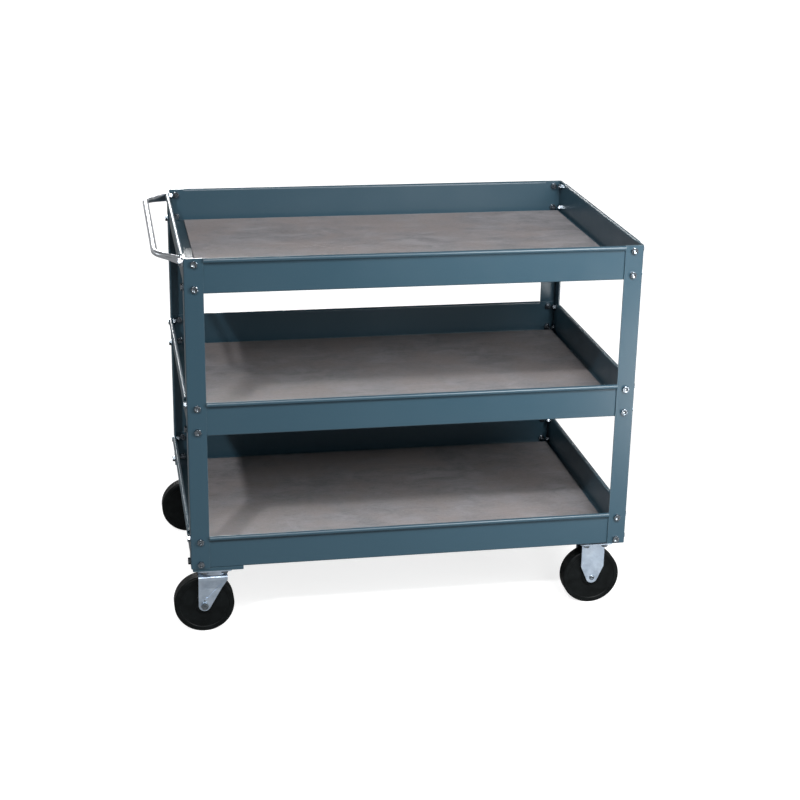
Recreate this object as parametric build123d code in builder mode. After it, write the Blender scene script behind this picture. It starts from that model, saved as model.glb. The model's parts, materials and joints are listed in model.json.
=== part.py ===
from build123d import *
from math import cos, radians, sin
import os

# Three-shelf bolted steel cart. Millimetres, +Z up, the floor at Z = 0, the handle at the -X end.
# The origin is the middle of the whole object on the floor, from the handle to the rigid wheels.

# ---------------------------------------------------------------- trays
tray_length = 914.4
tray_width = 609.6
tray_height = 71.5
sheet = 1.5
tray_corner_radius = 3.5
tray_bend_radius = 2.5
rim_top = 813.0
rim_middle = 519.3
rim_bottom = 231.0
curl_radius = 4.75
curl_sweep = 285
curl_end_gap = 0.6

liner_thickness = 4.0
liner_length = 872.0
liner_width = 574.0
liner_shift = 12.0
liner_corner_radius = 3.0
liner_edge_radius = 0.6

# ---------------------------------------------------------------- posts
post_sheet = 3.0
post_flange = 38.0
post_outer_radius = 2.5
post_inner_radius = 2.0

# ---------------------------------------------------------------- shelf bolts, 5/16 inch
bolt_radius = 3.97
bolt_hole_radius = 4.3
bolt_head_height = 5.3
head_dish_sphere = 9.0
head_dish_depth = 1.2
hex_across_flats = 12.7
nut_height = 6.75
nut_bore_gap = 0.03
head_rounding = 0.8
thread_end_chamfer = 0.8
bolt_inset = 20.0
bolt_drop = 11.0
bolt_pitch = 50.0
head_turn_first = 25
head_turn_step = 17
shelf_bolt_length = 12.7
handle_bolt_length = 15.9

# ---------------------------------------------------------------- handle
handle_reach = 56.8
handle_radius = 6.35
handle_corner_y = 229.0
handle_corner_radius = 42.0
handle_rise = 4.0
handle_flat_width = 18.0
handle_flat_thickness = 3.2
handle_flat_edge_radius = 1.4
handle_bend_y = 277.0
handle_taper_length = 44.0

# ---------------------------------------------------------------- caster bolsters
bolster_width = 104.0
bolster_depth = 7.5
bolster_sheet = 2.0
bolster_lip = 14.0
bolster_bend_radius = 1.8
bolster_right_setback = 19.0
kingpin_clearance_radius = 11.0

# ---------------------------------------------------------------- casters
swivel_x = -411.5
swivel_y = 258.0
rigid_x = 405.5
rigid_y = 246.0
caster_trail = 21.5
wheel_radius = 62.5
wheel_width = 32.0
wheel_edge_radius = 4.0
wheel_recess = 1.2
wheel_recess_inner = 22.0
wheel_recess_outer = 51.0
hub_width = 36.0
hub_radius = 18.0
bush_radius = 12.0
sleeve_radius = 7.0
running_gap = 0.05
axle_radius = 4.76
axle_hole_gap = 0.1

fork_sheet = 3.0
fork_gap = 39.0
fork_tip_radius = 12.5
swivel_fork_back = -33.5
swivel_fork_front = 26.5
swivel_fork_shoulder = 122.0
swivel_fork_splay = 29.0
swivel_fork_straight = 100.0
crown_top = 131.0
fork_bend_radius = 4.5
fork_recess = 1.2
fork_recess_top = 116.0
fork_recess_top_x = 3.0
fork_recess_top_width = 24.0
fork_recess_top_height = 8.0
fork_recess_top_radius = 2.0
fork_recess_foot = 82.0
fork_recess_foot_x = -16.0
fork_recess_foot_radius = 3.0
rigid_fork_width = 50.0
rigid_fork_knee = 89.0

caster_plate_x = 70.0
caster_plate_y = 92.0
caster_plate_sheet = 3.0
caster_plate_corner_radius = 6.0
caster_bolt_x = 20.0
caster_bolt_y = 36.0
caster_bolt_head_radius = 8.0
caster_bolt_head_height = 4.0
thread_past_nut = 1.5

ball_radius = 3.5
ball_circle = 21.5
ball_count = 18
ball_height = 137.5
upper_groove_gap = 0.1
lower_groove_gap = 0.3
race_half_gap = 2.3
race_ring_inner = 17.0
race_ring_outer = 26.0
skirt_inner = 27.5
skirt_outer = 29.5
skirt_bottom = 132.7
kingpin_radius = 5.0
kingpin_head_radius = 8.0
kingpin_head_height = 2.3
kingpin_head_gap = 0.2
rivet_radius = 9.0
rivet_height = 2.6

axle_hex_flats = 14.3
axle_head_height = 6.0
axle_nut_height = 8.0
axle_round_head_radius = 5.6
axle_round_head_height = 2.8
axle_dimple_radius = 3.0
axle_dimple_depth = 2.0
lightening_hole_radius = 2.0
lightening_hole_height = 10.5

# ---------------------------------------------------------------- places worked out from the above
post_x = tray_length / 2 + post_sheet
post_y = tray_width / 2 + post_sheet
tray_underside = rim_bottom - tray_height
bolster_underside = tray_underside - bolster_depth
plate_underside = bolster_underside - caster_plate_sheet
crown_underside = crown_top - fork_sheet
fork_width = fork_gap + 2 * fork_sheet
handle_bolt_z = rim_top - bolt_drop
frame_x = (post_x + handle_reach - rigid_x - wheel_radius) / 2
cart = Plane(origin=(frame_x, 0, 0))

rims = {"top": rim_top, "middle": rim_middle, "bottom": rim_bottom}
corners = {
    "front_left": (-1, -1),
    "front_right": (1, -1),
    "back_left": (-1, 1),
    "back_right": (1, 1),
}


def keep(piece, name):
    """Name a finished piece and write it to its own file."""
    piece.part.label = name
    export_step(piece.part, f"parts/{name}.step")


def front_or_back_plane(x, y, z, side, turn=0):
    """A plane at a point of the cart, facing along side * Y, its x turned by some degrees."""
    across = (cos(radians(turn)), 0, sin(radians(turn)))
    return Plane(origin=(frame_x + x, y, z), x_dir=across, z_dir=(0, side, 0))


def end_plane(x, y, z, side, turn=0):
    """A plane at a point of the cart, facing along side * X, its x turned by some degrees."""
    across = (0, cos(radians(turn)), sin(radians(turn)))
    return Plane(origin=(frame_x + x, y, z), x_dir=across, z_dir=(side, 0, 0))


def wall_bolts(side_x, side_y, rim, turn=0):
    """The two bolts of one tray corner through the front or back flange of its post."""
    heights = (rim - bolt_drop, rim - bolt_drop - bolt_pitch)
    x = side_x * (post_x - bolt_inset)
    return [front_or_back_plane(x, side_y * post_y, z, side_y, turn * (i + 1)) for i, z in enumerate(heights)]


def end_bolts(side_x, side_y, rim, turn=0):
    """The two bolts of one tray corner through the end flange of its post."""
    heights = (rim - bolt_drop, rim - bolt_drop - bolt_pitch)
    y = side_y * (post_y - bolt_inset)
    return [end_plane(side_x * post_x, y, z, side_x, turn * (i + 2)) for i, z in enumerate(heights)]


def holds_handle(side_x, rim):
    """True where the upper end bolt of a corner also holds the handle."""
    return side_x < 0 and rim == rim_top


# ---------------------------------------------------------------- posts
def make_post(side_x, side_y):
    """One corner angle, its outer corner rounded, drilled for every tray."""
    corner = (side_x * post_x, side_y * post_y)
    with BuildPart() as post:
        with BuildSketch(cart.offset(tray_underside)):
            with BuildLine():
                Polyline(
                    corner,
                    (corner[0] - side_x * post_flange, corner[1]),
                    (corner[0] - side_x * post_flange, corner[1] - side_y * post_sheet),
                    (corner[0] - side_x * post_sheet, corner[1] - side_y * post_sheet),
                    (corner[0] - side_x * post_sheet, corner[1] - side_y * post_flange),
                    (corner[0], corner[1] - side_y * post_flange),
                    close=True,
                )
            make_face()
            root = (corner[0] - side_x * post_sheet, corner[1] - side_y * post_sheet)
            fillet(vertices().sort_by_distance(corner)[0], post_outer_radius)
            fillet(vertices().sort_by_distance(root)[0], post_inner_radius)
        extrude(amount=rim_top - tray_underside)
        for rim in rims.values():
            with Locations(*wall_bolts(side_x, side_y, rim), *end_bolts(side_x, side_y, rim)):
                Hole(bolt_hole_radius, depth=2 * post_sheet)
    return post


# ---------------------------------------------------------------- trays
def curl_section(plane):
    """The rolled rim in section: x runs outward from the wall's inner face, y up."""
    with BuildSketch(plane) as section:
        with BuildLine():
            outer = CenterArc((curl_radius, 0), curl_radius, 180, -curl_sweep)
            inner = CenterArc((curl_radius, 0), curl_radius - sheet, 180, -curl_sweep)
            Line(outer @ 0, inner @ 0)
            Line(outer @ 1, inner @ 1)
        make_face()
    return section


def make_tray(rim):
    """A folded tray: floor, four walls, and a rim rolled outward between the posts."""
    underside = rim - tray_height
    curl_height = rim - curl_radius
    curl_length = 2 * (post_x - post_flange - curl_end_gap)
    curl_width = 2 * (post_y - post_flange - curl_end_gap)
    inner_x = tray_length / 2 - sheet
    inner_y = tray_width / 2 - sheet
    with BuildPart() as tray:
        with BuildSketch(cart.offset(underside)):
            RectangleRounded(tray_length, tray_width, tray_corner_radius)
        extrude(amount=tray_height)
        fillet(tray.edges().group_by(Axis.Z)[0], tray_bend_radius)
        with BuildSketch(cart.offset(underside + sheet)):
            RectangleRounded(2 * inner_x, 2 * inner_y, tray_corner_radius - sheet)
        extrude(amount=tray_height - sheet, mode=Mode.SUBTRACT)
        with BuildSketch(cart.offset(curl_height)):
            Rectangle(curl_length, tray_width + sheet)
            Rectangle(tray_length + sheet, curl_width)
        extrude(amount=2 * curl_radius, mode=Mode.SUBTRACT)
        for side in (-1, 1):
            along_x = Plane((frame_x, side * inner_y, curl_height), x_dir=(0, side, 0), z_dir=(side, 0, 0))
            extrude(curl_section(along_x).sketch, amount=curl_length / 2, both=True)
            along_y = Plane(
                (frame_x + side * inner_x, 0, curl_height), x_dir=(side, 0, 0), z_dir=(0, -side, 0)
            )
            extrude(curl_section(along_y).sketch, amount=curl_width / 2, both=True)
        for side_x, side_y in corners.values():
            with Locations(*wall_bolts(side_x, side_y, rim), *end_bolts(side_x, side_y, rim)):
                Hole(bolt_hole_radius, depth=post_sheet + 2 * sheet)
    return tray


def make_liner(rim):
    """The loose board that lies on a tray's floor, short of the walls and pushed to the +X end."""
    with BuildPart() as liner:
        with BuildSketch(Plane((frame_x + liner_shift, 0, rim - tray_height + sheet))):
            RectangleRounded(liner_length, liner_width, liner_corner_radius)
        extrude(amount=liner_thickness)
        fillet(liner.edges().group_by(Axis.Z)[-1], liner_edge_radius)
    return liner


# ---------------------------------------------------------------- hex fasteners
def hex_prism(flats, low, high, crowned):
    """A hexagon along Z from low to high, its corners turned off at the ends that show."""
    corner = flats / 2 / cos(radians(30))
    bevel = corner - flats / 2
    foot = [(corner - bevel, low), (corner, low + bevel / 2)] if crowned == "both" else [(corner, low)]
    with BuildPart() as prism:
        with BuildSketch(Plane.XY.offset(low)):
            RegularPolygon(radius=corner, side_count=6)
        extrude(amount=high - low)
        with BuildSketch(Plane.XZ):
            with BuildLine():
                Polyline(
                    (0, low),
                    *foot,
                    (corner, high - bevel / 2),
                    (corner - bevel, high),
                    (0, high),
                    close=True,
                )
            make_face()
        revolve(axis=Axis.Z, mode=Mode.INTERSECT)
    return prism


def make_hex_bolt(length):
    """A bolt along -Z from its seat at Z = 0, its dished head above."""
    head = hex_prism(hex_across_flats, 0, bolt_head_height, "top")
    with BuildPart() as bolt:
        add(head)
        with Locations((0, 0, bolt_head_height + head_dish_sphere - head_dish_depth)):
            Sphere(head_dish_sphere, mode=Mode.SUBTRACT)
        with BuildSketch(Plane.XY):
            Circle(bolt_radius)
        extrude(amount=-length)
        chamfer(bolt.edges().filter_by(GeomType.CIRCLE).sort_by(Axis.Z)[0], thread_end_chamfer)
    return bolt


def make_nut():
    """A nut below its seat at Z = 0."""
    body = hex_prism(hex_across_flats, -nut_height, 0, "both")
    with BuildPart() as nut:
        add(body)
        with BuildSketch(Plane.XY):
            Circle(bolt_radius + nut_bore_gap)
        extrude(amount=-nut_height, mode=Mode.SUBTRACT)
    return nut


def round_head(radius, height):
    """A low domed head above Z = 0."""
    with BuildPart() as head:
        with BuildSketch(Plane.XY):
            Circle(radius)
        extrude(amount=height)
        fillet(head.edges().filter_by(GeomType.CIRCLE).sort_by(Axis.Z)[-1], height * head_rounding)
    return head


def make_carriage_bolt():
    """A round-headed bolt along -Z that clamps a caster plate under a bolster."""
    length = bolster_sheet + caster_plate_sheet + nut_height + thread_past_nut
    head = round_head(caster_bolt_head_radius, caster_bolt_head_height)
    with BuildPart() as bolt:
        add(head)
        with BuildSketch(Plane.XY):
            Circle(bolt_radius)
        extrude(amount=-length)
        chamfer(bolt.edges().filter_by(GeomType.CIRCLE).sort_by(Axis.Z)[0], thread_end_chamfer)
    return bolt


def make_group(piece, places):
    """Copies of one fastener at several planes."""
    with BuildPart() as group:
        with Locations(*places):
            add(piece)
    return group


# ---------------------------------------------------------------- handle
def make_handle():
    """A round bar bent to a bow, its ends beaten flat and bolted to the two left posts."""
    flat_x = -post_x - handle_flat_thickness / 2
    grip_x = -post_x - handle_reach + handle_radius
    grip_z = handle_bolt_z + handle_rise
    bend = Vector(frame_x + flat_x, handle_bend_y, handle_bolt_z)
    corner = Vector(frame_x + grip_x, handle_corner_y, grip_z)
    leg = (corner - bend).normalized()
    leg_start = bend + leg * handle_taper_length
    far_corner = Vector(corner.X, -corner.Y, corner.Z)
    far_start = Vector(leg_start.X, -leg_start.Y, leg_start.Z)
    bolt_y = post_y - bolt_inset
    with BuildPart() as handle:
        with BuildLine() as route:
            FilletPolyline(leg_start, corner, far_corner, far_start, radius=handle_corner_radius)
        with BuildSketch(Plane(leg_start, z_dir=leg)):
            Circle(handle_radius)
        sweep(path=route.line)
        for side in (-1, 1):
            start = Vector(leg_start.X, side * leg_start.Y, leg_start.Z)
            along = Vector(leg.X, side * leg.Y, leg.Z)
            flat_end = Plane((bend.X, side * bend.Y, bend.Z), x_dir=(1, 0, 0), z_dir=(0, -side, 0))
            with BuildSketch(flat_end) as flat_section:
                RectangleRounded(handle_flat_thickness, handle_flat_width, handle_flat_edge_radius)
            with BuildSketch(Plane(start, x_dir=Vector(0, 0, 1).cross(along), z_dir=along)) as round_section:
                Circle(handle_radius)
            loft(sections=[flat_section.sketch, round_section.sketch])
            with BuildSketch(end_plane(-post_x, 0, handle_bolt_z, -1)):
                with Locations((side * bolt_y, 0)):
                    Circle(handle_flat_width / 2)
                with Locations((side * (bolt_y + handle_bend_y) / 2, 0)):
                    Rectangle(bolt_y - handle_bend_y, handle_flat_width)
            extrude(amount=handle_flat_thickness)
            with Locations(end_plane(-post_x - handle_flat_thickness, side * bolt_y, handle_bolt_z, -1)):
                Hole(bolt_hole_radius, depth=2 * handle_flat_thickness)
    return handle


# ---------------------------------------------------------------- caster bolsters
def make_bolster(side_x, length, caster_x, caster_y, is_swivel):
    """A lipped channel across the cart under the bottom tray, open side up, drilled for two casters.

    The swivel casters' one reaches the tray's walls, so its ends are closed, and it clears the kingpins.
    """
    middle = side_x * (tray_length - bolster_width) / 2
    with BuildPart() as bolster:
        with BuildSketch(Plane((frame_x + middle, 0, bolster_underside), x_dir=(1, 0, 0), z_dir=(0, -1, 0))):
            with Locations((0, bolster_depth / 2)):
                Rectangle(bolster_width, bolster_depth)
            fillet(vertices().group_by(Axis.Y)[0], bolster_bend_radius)
            with Locations((0, bolster_depth / 2)):
                Rectangle(
                    bolster_width - 2 * bolster_sheet, bolster_depth - 2 * bolster_sheet, mode=Mode.SUBTRACT
                )
            with Locations((0, bolster_depth)):
                Rectangle(bolster_width - 2 * bolster_lip, bolster_depth, mode=Mode.SUBTRACT)
        extrude(amount=length / 2, both=True)
        for side_y in (-1, 1):
            if is_swivel:
                end_origin = (frame_x + middle, side_y * length / 2, bolster_underside)
                with BuildSketch(Plane(end_origin, x_dir=(1, 0, 0), z_dir=(0, -1, 0))):
                    with Locations((0, bolster_depth / 2)):
                        Rectangle(bolster_width - 2 * bolster_sheet, bolster_depth)
                extrude(amount=side_y * bolster_sheet)
            seat = Plane((frame_x + caster_x, side_y * caster_y, bolster_underside + bolster_sheet))
            with Locations(*caster_bolt_planes(caster_x, side_y * caster_y, seat.origin.Z)):
                Hole(bolt_hole_radius, depth=2 * bolster_sheet)
            if is_swivel:
                with Locations(seat):
                    Hole(kingpin_clearance_radius, depth=2 * bolster_sheet)
    return bolster


def caster_bolt_planes(x, y, z):
    """The four level planes at the bolt holes of one caster's plate."""
    return [
        Plane((frame_x + x + dx, y + dy, z))
        for dx in (-caster_bolt_x, caster_bolt_x)
        for dy in (-caster_bolt_y, caster_bolt_y)
    ]


# ---------------------------------------------------------------- casters
def caster_plane(x, y, z=0):
    """A level plane on a caster's upright axis."""
    return Plane((frame_x + x, y, z))


def side_view(x, y):
    """A plane through a caster's upright axis, seen from the front: x along X, y up from the floor."""
    return Plane((frame_x + x, y, 0), x_dir=(1, 0, 0), z_dir=(0, -1, 0))


def end_view(x, y):
    """A plane through a caster's upright axis, seen from the end: x along Y, y up from the floor."""
    return Plane((frame_x + x, y, 0), x_dir=(0, 1, 0), z_dir=(1, 0, 0))


def plate_outline(x, y):
    """A caster plate with its four bolt holes."""
    with BuildSketch(caster_plane(x, y, plate_underside)) as outline:
        RectangleRounded(caster_plate_x, caster_plate_y, caster_plate_corner_radius)
        with GridLocations(2 * caster_bolt_x, 2 * caster_bolt_y, 2, 2):
            Circle(bolt_hole_radius, mode=Mode.SUBTRACT)
    return outline


def make_swivel_plate(x, y):
    """The fixed top of a swivel caster: plate, upper ball race and the skirt that covers the balls."""
    upper_race = ball_height + race_half_gap
    outline = plate_outline(x, y)
    with BuildPart() as plate:
        extrude(outline.sketch, amount=caster_plate_sheet)
        with Locations(caster_plane(x, y, bolster_underside)):
            Hole(kingpin_radius, depth=2 * caster_plate_sheet)
        with BuildSketch(side_view(x, y)):
            with BuildLine():
                Polyline(
                    (race_ring_inner, plate_underside),
                    (race_ring_inner, upper_race),
                    (skirt_inner, upper_race),
                    (skirt_inner, skirt_bottom),
                    (skirt_outer, skirt_bottom),
                    (skirt_outer, plate_underside - caster_plate_sheet),
                    (skirt_outer + caster_plate_sheet, plate_underside),
                    close=True,
                )
            make_face()
        revolve(axis=Axis((frame_x + x, y, 0), (0, 0, 1)))
        with Locations(caster_plane(x, y, ball_height)):
            Torus(ball_circle, ball_radius + upper_groove_gap, mode=Mode.SUBTRACT)
    return plate


def make_race_balls(x, y):
    """The ring of balls between the two races."""
    with BuildPart() as balls:
        with Locations(caster_plane(x, y, ball_height)):
            with PolarLocations(ball_circle, ball_count):
                Sphere(ball_radius)
    return balls


def make_kingpin(x, y):
    """The pin a fork turns on: riveted into the plate above, headed under the crown."""
    shaft_bottom = crown_underside - kingpin_head_gap
    under_head = Plane((frame_x + x, y, shaft_bottom), z_dir=(0, 0, -1))
    rivet = round_head(rivet_radius, rivet_height)
    head = round_head(kingpin_head_radius, kingpin_head_height)
    with BuildPart() as kingpin:
        with BuildSketch(caster_plane(x, y, shaft_bottom)):
            Circle(kingpin_radius)
        extrude(amount=bolster_underside - shaft_bottom)
        with Locations(caster_plane(x, y, bolster_underside)):
            add(rivet)
        with Locations(under_head):
            add(head)
    return kingpin


def swivel_fork_section(x, y, thickness):
    """The outer layer of a swivel fork seen from the end: legs that splay out to the crown."""
    foot = wheel_radius - 2 * fork_tip_radius
    leg = [
        (fork_width / 2, foot),
        (fork_width / 2, swivel_fork_straight),
        (swivel_fork_splay, swivel_fork_shoulder),
        (swivel_fork_splay, crown_top),
    ]
    with BuildSketch(end_view(x, y)) as section:
        with BuildLine():
            Polyline(*leg, *[(-across, up) for across, up in reversed(leg)], close=True)
        make_face()
        fillet(vertices().group_by(Axis.Y)[-1], fork_bend_radius)
        offset(amount=-thickness, mode=Mode.SUBTRACT)
    return section


def make_fork_recess(x, y):
    """The pressed hollow in both legs of a swivel fork, as deep as fork_recess."""
    layer = swivel_fork_section(x, y, fork_recess)
    with BuildPart() as recess:
        extrude(layer.sketch, amount=wheel_radius, both=True)
        with BuildSketch(side_view(x, y)):
            with Locations((fork_recess_top_x, fork_recess_top)):
                RectangleRounded(fork_recess_top_width, fork_recess_top_height, fork_recess_top_radius)
            with Locations((fork_recess_foot_x, fork_recess_foot)):
                Circle(fork_recess_foot_radius)
            make_hull()
        extrude(amount=wheel_radius, both=True, mode=Mode.INTERSECT)
    return recess


def make_swivel_fork(x, y):
    """The turning part of a swivel caster: crown with the lower race, and two legs trailing to -X."""
    lower_race = ball_height - race_half_gap
    axle_x = x - caster_trail
    legs = swivel_fork_section(x, y, fork_sheet)
    recess = make_fork_recess(x, y)
    with BuildPart() as fork:
        extrude(legs.sketch, amount=wheel_radius, both=True)
        with BuildSketch(side_view(x, y)):
            with Locations((-caster_trail, wheel_radius)):
                Circle(fork_tip_radius)
            with Locations(
                ((swivel_fork_back + swivel_fork_front) / 2, (swivel_fork_shoulder + crown_top) / 2)
            ):
                Rectangle(swivel_fork_front - swivel_fork_back, crown_top - swivel_fork_shoulder)
            make_hull()
        extrude(amount=2 * swivel_fork_splay, both=True, mode=Mode.INTERSECT)
        add(recess, mode=Mode.SUBTRACT)
        with BuildSketch(caster_plane(x, y, crown_top)):
            Circle(race_ring_outer)
            Circle(race_ring_inner, mode=Mode.SUBTRACT)
        extrude(amount=lower_race - crown_top)
        with Locations(caster_plane(x, y, ball_height)):
            Torus(ball_circle, ball_radius + lower_groove_gap, mode=Mode.SUBTRACT)
        with Locations(caster_plane(x, y, crown_top)):
            Hole(kingpin_radius + running_gap, depth=2 * fork_sheet)
        with Locations(front_or_back_plane(axle_x, y - fork_width / 2, wheel_radius, -1)):
            Hole(axle_radius + axle_hole_gap, depth=fork_width)
        with Locations(
            front_or_back_plane(axle_x, y - fork_width / 2, wheel_radius + lightening_hole_height, -1)
        ):
            Hole(lightening_hole_radius, depth=fork_width)
    return fork


def make_rigid_fork(x, y):
    """A rigid caster's one-piece plate and legs."""
    outline = plate_outline(x, y)
    with BuildPart() as fork:
        with BuildSketch(side_view(x, y)):
            with Locations((0, wheel_radius)):
                Circle(fork_tip_radius)
            with Locations((0, (rigid_fork_knee + plate_underside) / 2)):
                Rectangle(rigid_fork_width, plate_underside - rigid_fork_knee)
            make_hull()
        extrude(amount=fork_width / 2, both=True)
        with BuildSketch(end_view(x, y)):
            with Locations((0, plate_underside / 2)):
                Rectangle(fork_gap, plate_underside)
        extrude(amount=rigid_fork_width, both=True, mode=Mode.SUBTRACT)
        extrude(outline.sketch, amount=caster_plate_sheet)
        plate_corners = (
            fork.edges()
            .filter_by(Axis.X)
            .filter_by_position(Axis.Z, plate_underside, plate_underside)
            .filter_by_position(Axis.Y, y - fork_width / 2, y + fork_width / 2)
            .sort_by(Axis.Y)
        )
        plate_corners = [plate_corners[0], plate_corners[-1]]
        fillet(plate_corners, fork_sheet)
        with Locations(front_or_back_plane(x, y - fork_width / 2, wheel_radius, -1)):
            Hole(axle_radius + axle_hole_gap, depth=fork_width)
    return fork


def make_ring(x, y, inner, outer, width):
    """A plain ring on an axle: the sleeve clamped between the legs, or the bush in the hub."""
    with BuildPart() as ring:
        with BuildSketch(front_or_back_plane(x, y, wheel_radius, -1)):
            Circle(outer)
            Circle(inner, mode=Mode.SUBTRACT)
        extrude(amount=width / 2, both=True)
    return ring


def make_wheel(x, y):
    """A solid moulded wheel: flat tread with rounded shoulders, shallow side recesses, a hub."""
    half = wheel_width / 2
    floor = half - wheel_recess
    side = [
        (hub_width / 2, bush_radius),
        (hub_width / 2, hub_radius),
        (floor, wheel_recess_inner),
        (floor, wheel_recess_outer),
        (half, wheel_recess_outer + wheel_recess),
        (half, wheel_radius),
    ]
    with BuildPart() as wheel:
        with BuildSketch(Plane((frame_x + x, y, wheel_radius), x_dir=(0, 1, 0), z_dir=(1, 0, 0))):
            with BuildLine():
                Polyline(*side, *[(-across, up) for across, up in reversed(side)], close=True)
            make_face()
            fillet(vertices().group_by(Axis.Y)[-1], wheel_edge_radius)
        revolve(axis=Axis((frame_x + x, y, wheel_radius), (0, 1, 0)))
    return wheel


def make_axle_bolt(x, y, side, hex_head):
    """The bolt through a fork's legs, its head on the outer side of the cart."""
    seat = front_or_back_plane(x, y + side * fork_width / 2, wheel_radius, side)
    if hex_head:
        head = hex_prism(axle_hex_flats, 0, axle_head_height, "top")
    else:
        head = round_head(axle_round_head_radius, axle_round_head_height)
    with BuildPart() as bolt:
        with BuildSketch(seat):
            Circle(axle_radius)
        extrude(amount=-(fork_width + axle_nut_height + thread_past_nut))
        with Locations(seat):
            add(head)
        if not hex_head:
            with Locations(seat.offset(axle_round_head_height)):
                Cylinder(axle_dimple_radius, 2 * axle_dimple_depth, mode=Mode.SUBTRACT)
    return bolt


def make_axle_nut(x, y, side):
    """The nut on an axle bolt, against the inner leg."""
    body = hex_prism(axle_hex_flats, 0, axle_nut_height, "top")
    with BuildPart() as nut:
        with Locations(front_or_back_plane(x, y - side * fork_width / 2, wheel_radius, -side)):
            add(body)
            Hole(axle_radius + nut_bore_gap, depth=2 * axle_nut_height)
    return nut


def make_caster(name, x, y, trail, is_swivel):
    """Every piece of one caster, written as its own node."""
    side = -1 if y < 0 else 1
    axle_x = x - trail
    if is_swivel:
        keep(make_swivel_plate(x, y), f"swivel_plate_{name}")
        keep(make_race_balls(x, y), f"race_balls_{name}")
        keep(make_kingpin(x, y), f"kingpin_{name}")
        keep(make_swivel_fork(x, y), f"swivel_fork_{name}")
    else:
        keep(make_rigid_fork(x, y), f"rigid_fork_{name}")
    keep(make_axle_bolt(axle_x, y, side, is_swivel), f"axle_bolt_{name}")
    keep(make_axle_nut(axle_x, y, side), f"axle_nut_{name}")
    keep(make_ring(axle_x, y, axle_radius + axle_hole_gap, sleeve_radius, fork_gap), f"axle_sleeve_{name}")
    keep(make_ring(axle_x, y, sleeve_radius + running_gap, bush_radius, hub_width), f"wheel_bush_{name}")
    keep(make_wheel(axle_x, y), f"wheel_{name}")


# ---------------------------------------------------------------- the cart
os.makedirs("parts", exist_ok=True)

for corner_name, (side_x, side_y) in corners.items():
    keep(make_post(side_x, side_y), f"post_{corner_name}")

shelf_bolt = make_hex_bolt(shelf_bolt_length)
shelf_nut = make_nut()
wall_stack = post_sheet + sheet
for tray_name, rim in rims.items():
    keep(make_tray(rim), f"tray_{tray_name}")
    keep(make_liner(rim), f"liner_{tray_name}")
    bolt_planes = []
    nut_planes = []
    for number, (side_x, side_y) in enumerate(corners.values()):
        turn = head_turn_first + head_turn_step * number
        skipped = 1 if holds_handle(side_x, rim) else 0
        bolt_planes += wall_bolts(side_x, side_y, rim, turn) + end_bolts(side_x, side_y, rim, turn)[skipped:]
        nut_planes += wall_bolts(side_x, side_y, rim) + end_bolts(side_x, side_y, rim)[skipped:]
    nut_planes = [plane.offset(-wall_stack) for plane in nut_planes]
    keep(make_group(shelf_bolt, bolt_planes), f"shelf_bolts_{tray_name}")
    keep(make_group(shelf_nut, nut_planes), f"shelf_nuts_{tray_name}")

handle_planes = [end_bolts(-1, side_y, rim_top)[0] for side_y in (-1, 1)]
handle_seats = [plane.offset(handle_flat_thickness) for plane in handle_planes]
keep(make_handle(), "handle")
keep(make_group(make_hex_bolt(handle_bolt_length), handle_seats), "handle_bolts")
keep(make_group(shelf_nut, [plane.offset(-wall_stack) for plane in handle_planes]), "handle_nuts")

bolster_right_length = tray_width - 2 * bolster_right_setback
keep(make_bolster(-1, tray_width, swivel_x, swivel_y, True), "caster_bolster_left")
keep(make_bolster(1, bolster_right_length, rigid_x, rigid_y, False), "caster_bolster_right")

caster_bolts = []
caster_nuts = []
for corner_name, (side_x, side_y) in corners.items():
    is_swivel = side_x < 0
    x = swivel_x if is_swivel else rigid_x
    y = side_y * (swivel_y if is_swivel else rigid_y)
    make_caster(corner_name, x, y, caster_trail if is_swivel else 0, is_swivel)
    caster_bolts += caster_bolt_planes(x, y, bolster_underside + bolster_sheet)
    caster_nuts += caster_bolt_planes(x, y, plate_underside)
keep(make_group(make_carriage_bolt(), caster_bolts), "caster_bolts")
keep(make_group(shelf_nut, caster_nuts), "caster_nuts")
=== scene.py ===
import bpy
import json
from math import cos, radians, sin
from mathutils import Matrix, Vector

# A three-shelf bolted steel tool cart: the CAD frame, its finishes, and a plain pale studio.
# Metres, +Z up, the floor at Z = 0, the handle at the -X end.

# ---------------------------------------------------------------- the frame
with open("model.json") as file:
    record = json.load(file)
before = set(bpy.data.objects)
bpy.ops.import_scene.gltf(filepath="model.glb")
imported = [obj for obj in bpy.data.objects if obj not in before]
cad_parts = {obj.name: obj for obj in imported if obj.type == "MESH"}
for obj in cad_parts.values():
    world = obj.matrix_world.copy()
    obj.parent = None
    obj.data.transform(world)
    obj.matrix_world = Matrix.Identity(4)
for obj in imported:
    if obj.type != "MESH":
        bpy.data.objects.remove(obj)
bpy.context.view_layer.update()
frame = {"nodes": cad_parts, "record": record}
nodes = frame["nodes"]


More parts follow.
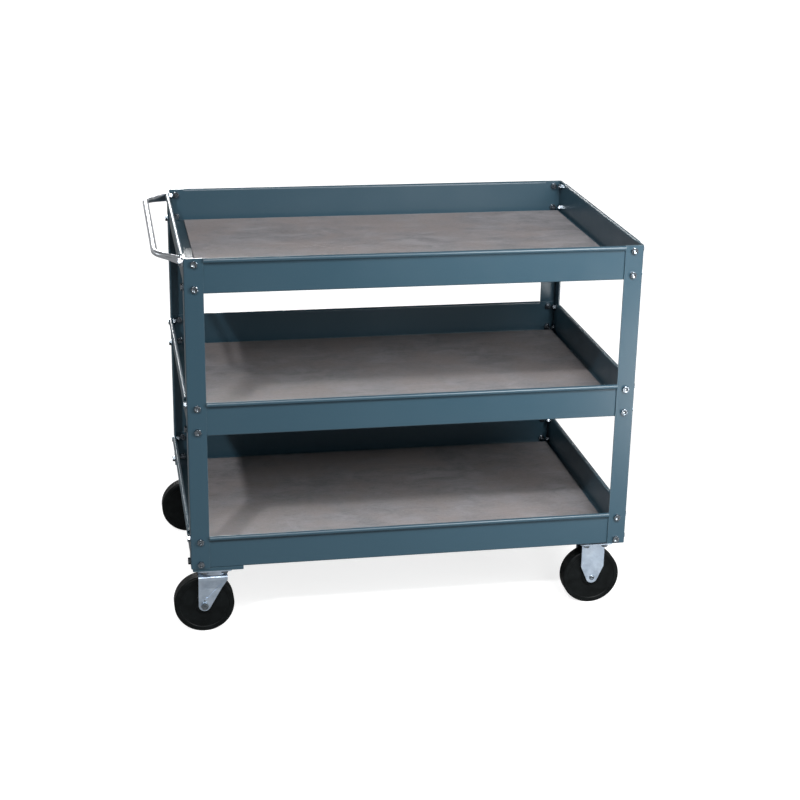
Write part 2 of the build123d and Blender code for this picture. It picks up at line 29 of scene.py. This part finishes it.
# ---------------------------------------------------------------- node trees
class Graph:
    """A node tree, with short ways to add and join its nodes."""

    def __init__(self, tree):
        self.tree = tree

    def add(self, kind, **settings):
        node = self.tree.nodes.new(kind)
        for setting, value in settings.items():
            setattr(node, setting, value)
        return node

    def join(self, source, target):
        self.tree.links.new(source, target)

    def remap(self, value, low, high, to_low=0.0, to_high=1.0):
        """value from low..high to to_low..to_high, held at the ends."""
        node = self.add("ShaderNodeMapRange")
        node.inputs["From Min"].default_value = low
        node.inputs["From Max"].default_value = high
        node.inputs["To Min"].default_value = to_low
        node.inputs["To Max"].default_value = to_high
        self.join(value, node.inputs["Value"])
        return node.outputs["Result"]

    def math(self, operation, first, second):
        """Two values put together; each is a number or a socket."""
        node = self.add("ShaderNodeMath", operation=operation)
        for socket, value in zip(node.inputs, (first, second)):
            if isinstance(value, (int, float)):
                socket.default_value = value
            else:
                self.join(value, socket)
        return node.outputs["Value"]

    def camera_sees(self, seen, otherwise):
        """The shader seen where the camera looks straight at it, and the other for all its light."""
        mix = self.add("ShaderNodeMixShader")
        self.join(self.add("ShaderNodeLightPath").outputs["Is Camera Ray"], mix.inputs[0])
        self.join(otherwise, mix.inputs[1])
        self.join(seen, mix.inputs[2])
        return mix.outputs["Shader"]


class Finish(Graph):
    """The node tree of a new material, around its main shader."""

    def __init__(self, name):
        self.material = bpy.data.materials.new(name)
        self.material.use_nodes = True
        super().__init__(self.material.node_tree)
        self.shader = self.tree.nodes["Principled BSDF"]
        self.place = self.add("ShaderNodeTexCoord").outputs["Object"]

    def set(self, **sockets):
        """Constants on the shader's own sockets, their names with _ for a space."""
        for socket, value in sockets.items():
            self.shader.inputs[socket.replace("_", " ")].default_value = value

    def drive(self, **sockets):
        """Other nodes' outputs into the shader's sockets, named in the same way."""
        for socket, source in sockets.items():
            self.join(source, self.shader.inputs[socket.replace("_", " ")])

    def scaled(self, size):
        """The object's own coordinates, with one unit as many metres as size says along X, Y, Z."""
        mapping = self.add("ShaderNodeMapping")
        mapping.inputs["Scale"].default_value = [1 / length for length in size]
        self.join(self.place, mapping.inputs["Vector"])
        return mapping.outputs["Vector"]

    def noise(self, size, detail=3.0, roughness=0.5, distortion=0.0):
        """Noise whose features are about size metres across, the same or different along X, Y, Z."""
        size = size if isinstance(size, tuple) else (size, size, size)
        texture = self.add("ShaderNodeTexNoise")
        texture.inputs["Scale"].default_value = 1.0
        texture.inputs["Detail"].default_value = detail
        texture.inputs["Roughness"].default_value = roughness
        texture.inputs["Distortion"].default_value = distortion
        self.join(self.scaled(size), texture.inputs["Vector"])
        return texture.outputs["Fac"]

    def blend(self, factor, first, second):
        """first where factor is 0, second where it is 1; a colour is a tuple or a socket."""
        node = self.add("ShaderNodeMix", data_type="RGBA")
        self.join(factor, node.inputs["Factor"])
        for socket, colour in ((node.inputs[6], first), (node.inputs[7], second)):
            if isinstance(colour, tuple):
                socket.default_value = (*colour, 1.0)
            else:
                self.join(colour, socket)
        return node.outputs[2]

    def bump(self, height, depth, under=None):
        """A bump of so many metres, over another bump if there is one."""
        node = self.add("ShaderNodeBump")
        node.inputs["Distance"].default_value = depth
        self.join(height, node.inputs["Height"])
        if under is not None:
            self.join(under, node.inputs["Normal"])
        return node.outputs["Normal"]

    def edges(self, radius, full_turn=0.86):
        """0 on flat faces, rising within radius metres of an edge, inner or outer.

        It is 1 where rounding the edge would turn the surface by an angle whose cosine is full_turn.
        """
        rounded = self.add("ShaderNodeBevel", samples=6)
        rounded.inputs["Radius"].default_value = radius
        plain = self.add("ShaderNodeNewGeometry")
        dot = self.add("ShaderNodeVectorMath", operation="DOT_PRODUCT")
        self.join(rounded.outputs["Normal"], dot.inputs[0])
        self.join(plain.outputs["Normal"], dot.inputs[1])
        return self.remap(dot.outputs["Value"], 1.0, full_turn)


# ---------------------------------------------------------------- finishes
# Sizes are in metres. Each finish keeps its roughness on one side of 0.27, because one that
# crosses it shows outlined patches in a denoised render.
def enamel():
    """Semi-gloss blue-grey enamel: orange peel, faint clouding, and lighter sheet edges that are partly
    thin worn paint and partly a painted highlight.
    """
    dark_paint = (0.0215, 0.052, 0.0745)
    light_paint = (0.0245, 0.0565, 0.08)
    dusty_paint = (0.04, 0.08, 0.105)
    edge_wear_and_highlight_paint = (0.16, 0.23, 0.27)

    graph = Finish("blue_grey_enamel")
    clouds = graph.remap(graph.noise(0.22, detail=1.5), 0.15, 0.85)
    colour = graph.blend(clouds, dark_paint, light_paint)
    dust = graph.remap(graph.noise(0.004, detail=2.0), 0.62, 0.75, to_high=0.25)
    colour = graph.blend(dust, colour, dusty_paint)
    # Lighter colour on every sheet edge, broken up by noise: partly worn thin paint, partly a painted
    # highlight of the rounded edges.
    edge_wear_and_highlight_breakup = graph.remap(graph.noise(0.012, detail=5.0), 0.4, 0.6, to_low=0.1, to_high=0.5)
    edge_wear_and_highlight = graph.math("MULTIPLY", graph.edges(0.0012), edge_wear_and_highlight_breakup)
    gloss = graph.remap(graph.noise(0.07, detail=3.0), 0.3, 0.7, to_low=0.285, to_high=0.35)
    peel = graph.bump(graph.noise(0.0028, detail=2.0), 0.00002)
    ripple = graph.bump(graph.noise(0.12, detail=0.0), 0.00025, under=peel)
    graph.drive(Base_Color=graph.blend(edge_wear_and_highlight, colour, edge_wear_and_highlight_paint), Roughness=gloss, Normal=ripple)
    return graph.material


def hardboard():
    """Matt grey-brown pressed board: matted fibres, mottling, faint scuffs along its length."""
    dark_board = (0.1, 0.104, 0.114)
    light_board = (0.23, 0.228, 0.242)
    warm_board = (0.19, 0.163, 0.155)
    pale_fibre = (0.25, 0.232, 0.238)
    dark_fleck = (0.085, 0.075, 0.078)
    scuffed_board = (0.31, 0.295, 0.3)

    graph = Finish("pressed_board")
    mottle = graph.noise((0.08, 0.045, 0.05), detail=6.0, roughness=0.72, distortion=0.8)
    mottle = graph.remap(mottle, 0.37, 0.63)
    colour = graph.blend(mottle, dark_board, light_board)
    warmth = graph.noise(0.16, detail=5.0, roughness=0.65)
    colour = graph.blend(graph.remap(warmth, 0.4, 0.6, to_high=0.75), colour, warm_board)
    fibres = graph.noise((0.011, 0.0016, 0.004), detail=5.0, roughness=0.7)
    fibres = graph.remap(fibres, 0.35, 0.65, to_high=0.6)
    colour = graph.blend(fibres, colour, pale_fibre)
    flecks = graph.remap(graph.noise(0.0018, detail=2.0), 0.64, 0.7, to_high=0.7)
    colour = graph.blend(flecks, colour, dark_fleck)
    scuffs = graph.noise((0.3, 0.006, 0.1), detail=4.0, roughness=0.6)
    colour = graph.blend(graph.remap(scuffs, 0.6, 0.78, to_high=0.35), colour, scuffed_board)
    gloss = graph.remap(mottle, 0.0, 1.0, to_low=0.55, to_high=0.72)
    relief = graph.bump(mottle, 0.0002, under=graph.bump(fibres, 0.00012))
    graph.drive(Base_Color=colour, Roughness=gloss, Normal=relief)
    graph.set(Specular_IOR_Level=0.35)
    return graph.material


def metal(name, *, dark, light, smooth, rough, grain, grain_depth, patch):
    """A bare or plated metal: patchy colour, uneven polish and a fine grain."""
    graph = Finish(name)
    patches = graph.remap(graph.noise(patch, detail=5.0, roughness=0.6), 0.35, 0.65)
    polish = graph.noise(patch / 3, detail=4.0, roughness=0.6)
    graph.drive(
        Base_Color=graph.blend(patches, dark, light),
        Roughness=graph.remap(polish, 0.3, 0.7, smooth, rough),
        Normal=graph.bump(graph.noise(grain, detail=3.0), grain_depth),
    )
    graph.set(Metallic=1.0)
    return graph.material


def bright_plating():
    return metal(
        "bright_plating", dark=(0.74, 0.78, 0.83), light=(0.86, 0.89, 0.93),
        smooth=0.29, rough=0.36, grain=0.004, grain_depth=0.00001, patch=0.03,
    )


def dull_zinc():
    return metal(
        "dull_zinc", dark=(0.13, 0.16, 0.19), light=(0.36, 0.4, 0.44),
        smooth=0.16, rough=0.26, grain=0.0008, grain_depth=0.00003, patch=0.006,
    )


def satin_zinc():
    return metal(
        "satin_zinc", dark=(0.5, 0.6, 0.72), light=(0.66, 0.76, 0.88),
        smooth=0.36, rough=0.52, grain=0.0012, grain_depth=0.00004, patch=0.02,
    )


def greased_steel():
    return metal(
        "greased_steel", dark=(0.3, 0.29, 0.27), light=(0.55, 0.54, 0.52),
        smooth=0.12, rough=0.26, grain=0.0008, grain_depth=0.00002, patch=0.004,
    )


def hard_rubber():
    """Satin black moulded rubber: faint bloom, a grained skin and small scuffs on the tread."""
    black = (0.0022, 0.0028, 0.0029)
    bloomed_black = (0.0045, 0.0058, 0.0062)
    scuffed_black = (0.012, 0.0145, 0.0155)

    graph = Finish("black_hard_rubber")
    bloom = graph.remap(graph.noise(0.02, detail=5.0, roughness=0.6), 0.35, 0.7)
    colour = graph.blend(bloom, black, bloomed_black)
    scuffs = graph.remap(graph.noise((0.004, 0.0012, 0.004), detail=4.0), 0.62, 0.74, to_high=0.5)
    colour = graph.blend(scuffs, colour, scuffed_black)
    gloss = graph.remap(bloom, 0.0, 1.0, to_low=0.36, to_high=0.55)
    skin = graph.bump(graph.noise(0.0011, detail=2.0), 0.00004)
    swell = graph.bump(graph.noise(0.03, detail=1.0), 0.0003, under=skin)
    graph.drive(Base_Color=colour, Roughness=gloss, Normal=swell)
    graph.set(Specular_IOR_Level=0.1)
    return graph.material


def moulded_plastic():
    """Off-white moulded nylon of the wheel bushes, stained in patches."""
    clean_nylon = (0.5, 0.48, 0.4)
    stained_nylon = (0.33, 0.31, 0.25)

    graph = Finish("moulded_nylon")
    stain = graph.remap(graph.noise(0.006, detail=4.0), 0.4, 0.7)
    graph.drive(
        Base_Color=graph.blend(stain, clean_nylon, stained_nylon),
        Roughness=graph.remap(stain, 0.0, 1.0, to_low=0.4, to_high=0.6),
        Normal=graph.bump(graph.noise(0.0015), 0.00003),
    )
    return graph.material


finishes = {
    "enamel": enamel(),
    "liner": hardboard(),
    "handle_plating": bright_plating(),
    "zinc_fastener": dull_zinc(),
    "zinc_pressing": satin_zinc(),
    "bearing_steel": greased_steel(),
    "bush_plastic": moulded_plastic(),
    "wheel_black": hard_rubber(),
}


def dress_frame():
    """Give every CAD node the finish of its material slot."""
    for subpart in frame["record"]["subparts"]:
        for material_slot in nodes[subpart["node"]].material_slots:
            material_slot.material = finishes[subpart["material_slot"]]


# ---------------------------------------------------------------- the studio
def grey(level):
    return (level, level, level, 1.0)


WHITE = grey(1.0)

FLOOR_SIZE = 60.0
FLOOR_LIGHT = (0.42, 0.42, 0.42)
FLOOR_DARK = (0.41, 0.41, 0.41)
FLOOR_PATCH = 1.4
FLOOR_GLOW = 0.78
FLOOR_BOUNCE = 0.24

CAMERA_PLACE = Vector((-0.6, -3.4103, 1.6333))
CAMERA_YAW = 10.79
CAMERA_PITCH = -19.63
CAMERA_ROLL = 1.04
CAMERA_LENS = 74.84

AMBIENT_STRENGTH = 0.1
BACKDROP_STRENGTH = 0.4
# how far a direction leans to +Y where the backdrop's light starts, and where it is full
BACKDROP_SIDES = (0.2, 0.7)
# how far it leans up where the backdrop's light starts to fade, and where it is gone
BACKDROP_TOP = (0.45, 0.7)

# name: (azimuth from the front, elevation, strength, spread), the angles in degrees
FAR_LAMPS = {
    "key_left": (-27.0, 42.0, 1.75, 3.0),
    "front_high": (0.0, 50.0, 1.25, 14.0),
    "front_low": (0.0, 30.0, 0.4, 14.0),
    "right": (90.0, 32.0, 0.15, 14.0),
    "back_low": (180.0, 9.0, 0.9, 14.0),
    "left_low": (-100.0, 12.0, 0.27, 14.0),
}

# name: (place in metres, power in watts, size in metres)
NEAR_LAMPS = {
    "near_right": ((0.6, -1.15, 1.15), 19.5, 0.7),
    "near_right_low": ((0.95, -1.0, 0.25), 4.6, 0.5),
}
NEAR_LAMPS_AIM = Vector((0.15, -0.3, 0.5))


def floor_finish():
    """Pale floor with soft pale shadows; it throws only a little light back on the cart."""
    graph = Finish("pale_floor")
    tone = graph.remap(graph.noise(FLOOR_PATCH, detail=2.0), 0.3, 0.7)
    graph.drive(Base_Color=graph.blend(tone, FLOOR_LIGHT, FLOOR_DARK))
    graph.set(Roughness=0.9, Specular_IOR_Level=0.0, Emission_Color=WHITE, Emission_Strength=FLOOR_GLOW)
    bounce = graph.add("ShaderNodeBsdfDiffuse")
    bounce.inputs["Color"].default_value = grey(FLOOR_BOUNCE)
    surface = graph.camera_sees(graph.shader.outputs["BSDF"], bounce.outputs["BSDF"])
    graph.join(surface, graph.tree.nodes["Material Output"].inputs["Surface"])
    return graph.material


def make_floor():
    half = FLOOR_SIZE / 2
    corners = [(-half, -half, 0), (half, -half, 0), (half, half, 0), (-half, half, 0)]
    mesh = bpy.data.meshes.new("studio_floor")
    mesh.from_pydata(corners, [], [(0, 1, 2, 3)])
    mesh.materials.append(floor_finish())
    floor = bpy.data.objects.new("studio_floor", mesh)
    bpy.context.scene.collection.objects.link(floor)


def make_far_lamp(name, azimuth, elevation, strength, spread):
    """A large far lamp that shines on the whole floor, azimuth degrees round from the front towards +X."""
    lamp = bpy.data.lights.new(name, "SUN")
    lamp.energy = strength
    lamp.angle = radians(spread)
    across, up = radians(azimuth), radians(elevation)
    direction = Vector((sin(across) * cos(up), -cos(across) * cos(up), sin(up)))
    holder = bpy.data.objects.new(name, lamp)
    holder.rotation_euler = direction.to_track_quat("Z", "Y").to_euler()
    bpy.context.scene.collection.objects.link(holder)


def make_near_lamp(name, place, power, size):
    """A round soft box close to the cart, which fades across it, out of the camera's sight."""
    lamp = bpy.data.lights.new(name, "AREA")
    lamp.shape = "DISK"
    lamp.energy = power
    lamp.size = size
    holder = bpy.data.objects.new(name, lamp)
    holder.location = place
    holder.rotation_euler = (Vector(place) - NEAR_LAMPS_AIM).to_track_quat("Z", "Y").to_euler()
    holder.visible_camera = False
    bpy.context.scene.collection.objects.link(holder)


def make_world():
    """A backdrop that lights the cart from behind, a faint light all round, and white for the camera."""
    world = bpy.data.worlds.new("studio")
    world.use_nodes = True
    graph = Graph(world.node_tree)
    direction = graph.add("ShaderNodeSeparateXYZ")
    graph.join(graph.add("ShaderNodeTexCoord").outputs["Generated"], direction.inputs[0])
    behind = graph.remap(direction.outputs["Y"], *BACKDROP_SIDES, to_high=BACKDROP_STRENGTH)
    low = graph.remap(direction.outputs["Z"], *BACKDROP_TOP, to_low=1.0, to_high=0.0)
    backdrop = graph.math("MULTIPLY", behind, low)
    light = graph.tree.nodes["Background"]
    light.inputs["Color"].default_value = WHITE
    graph.join(graph.math("MAXIMUM", backdrop, AMBIENT_STRENGTH), light.inputs["Strength"])
    seen = graph.add("ShaderNodeBackground")
    seen.inputs["Color"].default_value = WHITE
    surface = graph.camera_sees(seen.outputs["Background"], light.outputs["Background"])
    graph.join(surface, graph.tree.nodes["World Output"].inputs["Surface"])
    bpy.context.scene.world = world


def make_camera():
    data = bpy.data.cameras.new("camera")
    data.lens = CAMERA_LENS
    camera = bpy.data.objects.new("camera", data)
    turn = Matrix.Rotation(radians(-CAMERA_YAW), 4, "Z")
    tilt = Matrix.Rotation(radians(90 + CAMERA_PITCH), 4, "X")
    roll = Matrix.Rotation(radians(CAMERA_ROLL), 4, "Z")
    camera.matrix_world = Matrix.Translation(CAMERA_PLACE) @ turn @ tilt @ roll
    bpy.context.scene.collection.objects.link(camera)
    bpy.context.scene.camera = camera


def make_studio():
    make_floor()
    make_world()
    for name, settings in FAR_LAMPS.items():
        make_far_lamp(name, *settings)
    for name, settings in NEAR_LAMPS.items():
        make_near_lamp(name, *settings)
    make_camera()
    bpy.context.scene.view_settings.view_transform = "Standard"
    bpy.context.scene.view_settings.look = "None"


dress_frame()
make_studio()
